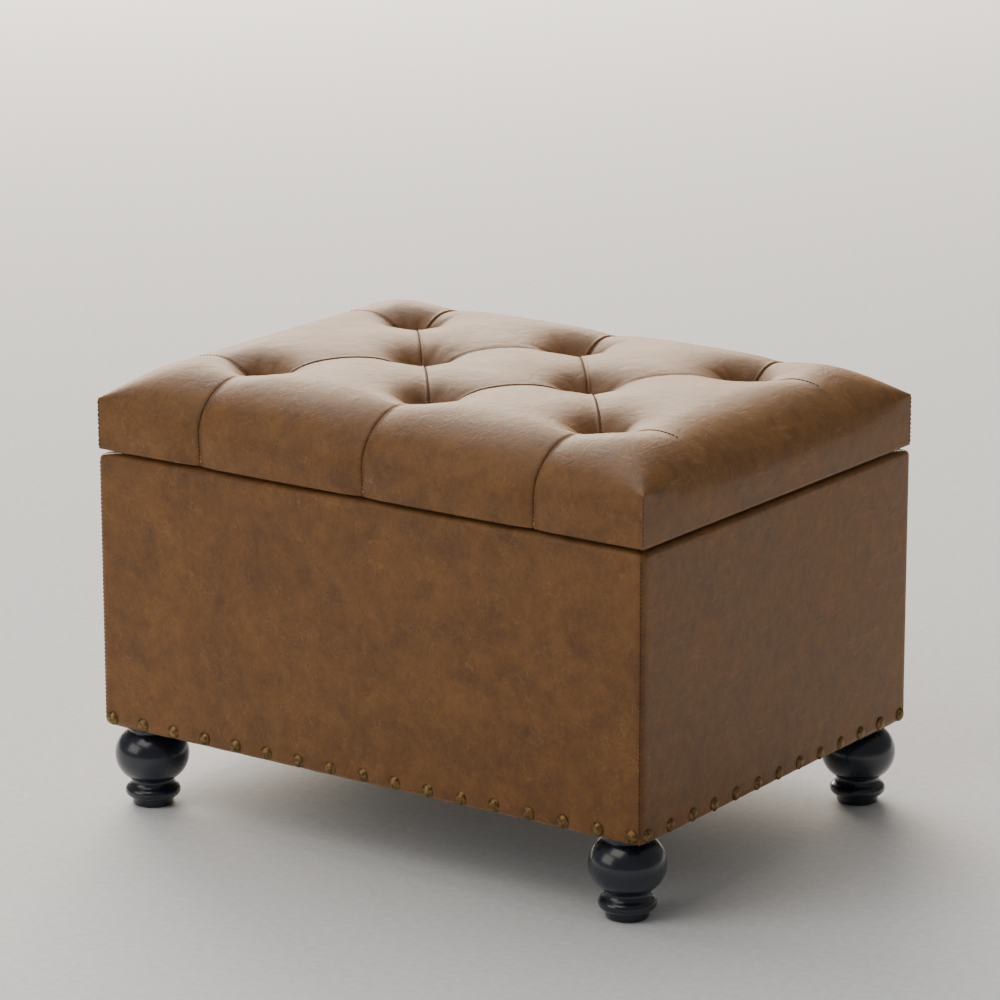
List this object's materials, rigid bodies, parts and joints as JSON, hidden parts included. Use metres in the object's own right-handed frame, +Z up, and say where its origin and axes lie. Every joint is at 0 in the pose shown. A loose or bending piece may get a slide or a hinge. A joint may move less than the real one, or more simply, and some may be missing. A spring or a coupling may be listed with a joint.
{
  "type": "storage ottoman",
  "caption": "Rectangular storage ottoman: leather-covered box on turned feet with nailhead trim and a tufted padded lid, hinged at the rear and held by sliding stays.",
  "frame": {"origin": "on the floor, under the middle of the box", "axes": "+X to the right along the long side seen from the front, +Y to the rear, where the lid is hinged, +Z up"},
  "size_m": [0.626, 0.4692, 0.432],
  "materials": {
    "leather": "satin brown, mottled and distressed",
    "foam": "soft open foam",
    "batting": "soft white padding",
    "lining_cloth": "plain black woven cloth",
    "frame_wood": "raw board",
    "foot_wood": "turned wood painted satin black",
    "nail_brass": "antique brass, dark and rubbed",
    "steel": "zinc-plated steel",
    "bumper_rubber": "matt black rubber",
    "tie_cord": "waxed twine"
  },
  "bodies": {
    "base": {"front_panel": "frame_wood", "rear_panel": "frame_wood", "left_panel": "frame_wood", "right_panel": "frame_wood", "bottom_panel": "frame_wood", "corner_blocks": "frame_wood", "box_batting": "batting", "cover_front": "leather", "cover_rear": "leather", "cover_left": "leather", "cover_right": "leather", "box_lining": "lining_cloth", "dust_cover": "lining_cloth", "foot_front_left": "foot_wood", "foot_front_right": "foot_wood", "foot_rear_left": "foot_wood", "foot_rear_right": "foot_wood", "nailheads_front": "nail_brass", "nailheads_rear": "nail_brass", "nailheads_left": "nail_brass", "nailheads_right": "nail_brass", "foot_bolts": "steel", "hinge_screws_box": "steel", "stay_screws_wall": "steel", "hinge_pins": "steel", "hinge_box_leaf_left": "steel", "stay_stud_left": "steel", "stay_wall_plate_left": "steel", "hinge_box_leaf_right": "steel", "stay_stud_right": "steel", "stay_wall_plate_right": "steel"},
    "lid": {"lid_board": "frame_wood", "lid_foam": "foam", "lid_cover": "leather", "lid_lining": "lining_cloth", "hinge_screws_lid": "steel", "stay_screws_lid": "steel", "tuft_anchors": "steel", "hinge_lid_leaf_left": "steel", "stay_rivet_left": "steel", "stay_bracket_left": "steel", "hinge_lid_leaf_right": "steel", "stay_rivet_right": "steel", "stay_bracket_right": "steel", "lid_bumpers": "bumper_rubber", "tuft_ties": "tie_cord"},
    "left_arm": {"stay_arm_left": "steel"},
    "right_arm": {"stay_arm_right": "steel"}
  },
  "joints": [
    {"name": "lid_hinge", "type": "hinge", "parent": "base", "child": "lid", "pos_m": [0, 0.229, 0.353], "axis": [-1, 0, 0], "range_deg": [0, 95]},
    {"name": "left_stay_pivot", "type": "hinge", "parent": "lid", "child": "left_arm", "pos_m": [-0.2845, 0.10982, 0.339], "axis": [1, 0, 0], "range_deg": [0, 47.5]},
    {"name": "right_stay_pivot", "type": "hinge", "parent": "lid", "child": "right_arm", "pos_m": [0.2845, 0.10982, 0.339], "axis": [1, 0, 0], "range_deg": [0, 47.5]}
  ],
  "couplings": [
    {"joint": "left_stay_pivot", "follows": "lid_hinge", "ratio": 0.5},
    {"joint": "right_stay_pivot", "follows": "lid_hinge", "ratio": 0.5}
  ]
}
